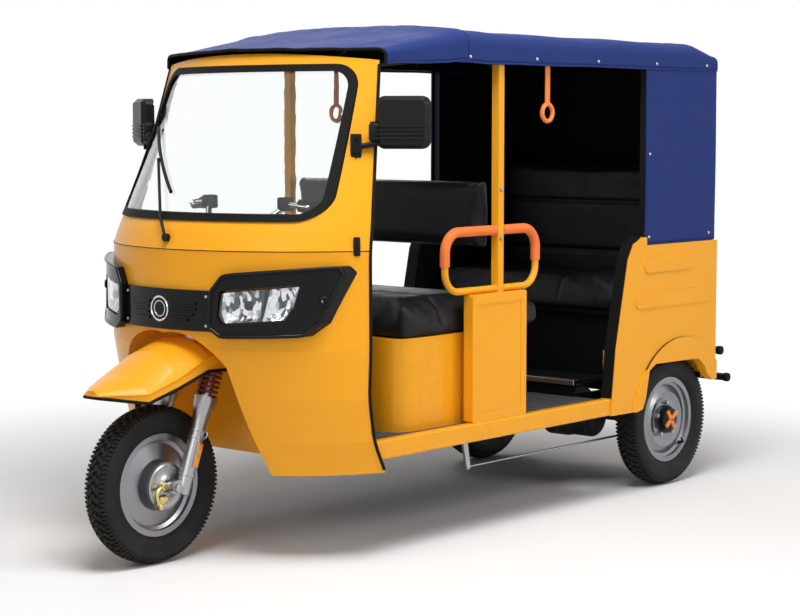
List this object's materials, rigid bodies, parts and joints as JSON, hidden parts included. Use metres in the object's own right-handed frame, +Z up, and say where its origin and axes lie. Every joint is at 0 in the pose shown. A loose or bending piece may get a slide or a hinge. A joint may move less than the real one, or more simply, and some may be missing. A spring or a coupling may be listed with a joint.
{
  "type": "electric passenger tricycle",
  "caption": "Yellow electric passenger tricycle with a blue canvas roof, open sides, handlebar steering and bench seats",
  "frame": {"origin": "on the ground under the middle of the overall size", "axes": "+Z up, front towards -Y, +X is the vehicle's own left side"},
  "size_m": [1.391, 2.9499, 1.7477],
  "materials": {
    "yellow_paint": "gloss",
    "blue_canvas": "matte",
    "black_paint": "satin",
    "black_plastic": "satin",
    "clear_glass": "gloss",
    "black_rubber": "matte",
    "lamp_lens": "gloss",
    "mirror_face": "gloss",
    "seat_cover": "satin",
    "orange_foam": "matte",
    "orange_plastic": "satin",
    "red_lens": "gloss",
    "tyre_rubber": "matte",
    "wheel_silver": "satin",
    "fork_alloy": "satin",
    "spring_red": "gloss",
    "bright_chrome": "gloss",
    "battery_case": "matte",
    "floor_grey": "matte",
    "axle_iron": "matte"
  },
  "bodies": {
    "body": {"chassis_frame": "black_paint", "floor_panel": "floor_grey", "front_cowl": "yellow_paint", "wheel_well": "yellow_paint", "windscreen_surround": "yellow_paint", "windscreen_seal": "black_rubber", "windscreen_glass": "clear_glass", "headlamp_fascia": "black_plastic", "headlamps": "lamp_lens", "wiper": "black_paint", "mirrors": "black_plastic", "mirror_glasses": "mirror_face", "dashboard": "black_plastic", "roof_frame": "black_paint", "canopy_roof": "blue_canvas", "canopy_curtains": "blue_canvas", "door_posts": "yellow_paint", "post_panels": "yellow_paint", "grab_grips": "orange_foam", "hand_straps": "orange_plastic", "seat_box": "yellow_paint", "battery_pack": "battery_case", "bench_cushions": "seat_cover", "driver_backrest": "seat_cover", "passenger_seat_base": "floor_grey", "passenger_seat": "seat_cover", "quarter_panels": "yellow_paint", "quarter_edge_trims": "black_rubber", "rear_panel": "yellow_paint", "tail_lamps": "red_lens", "rear_bumper": "black_paint", "sills": "yellow_paint", "leaf_springs": "black_paint", "rear_axle": "axle_iron", "drive_motor": "axle_iron", "brake_linkage": "black_paint"},
    "steering": {"fork_legs": "fork_alloy", "fork_springs": "spring_red", "fork_yoke": "black_paint", "handlebar": "bright_chrome", "handlebar_grips": "black_rubber", "front_fender": "yellow_paint"},
    "front_wheel": {"front_tyre": "tyre_rubber", "front_rim": "wheel_silver"},
    "rear_wheel_left": {"rear_tyre_left": "tyre_rubber", "rear_rim_left": "wheel_silver"},
    "rear_wheel_right": {"rear_tyre_right": "tyre_rubber", "rear_rim_right": "wheel_silver"}
  },
  "joints": [
    {"name": "steering_turn", "type": "hinge", "parent": "body", "child": "steering", "pos_m": [0, -0.96279, 0.82082], "axis": [0, 0.342, 0.9397], "range_deg": [-35, 35]},
    {"name": "front_wheel_roll", "type": "hinge", "parent": "steering", "child": "front_wheel", "pos_m": [0, -1.218, 0.257], "axis": [1, 0, 0], "continuous": true},
    {"name": "rear_left_roll", "type": "hinge", "parent": "body", "child": "rear_wheel_left", "pos_m": [0.45, 1.05, 0.257], "axis": [1, 0, 0], "continuous": true},
    {"name": "rear_right_roll", "type": "hinge", "parent": "body", "child": "rear_wheel_right", "pos_m": [-0.45, 1.05, 0.257], "axis": [1, 0, 0], "continuous": true}
  ]
}
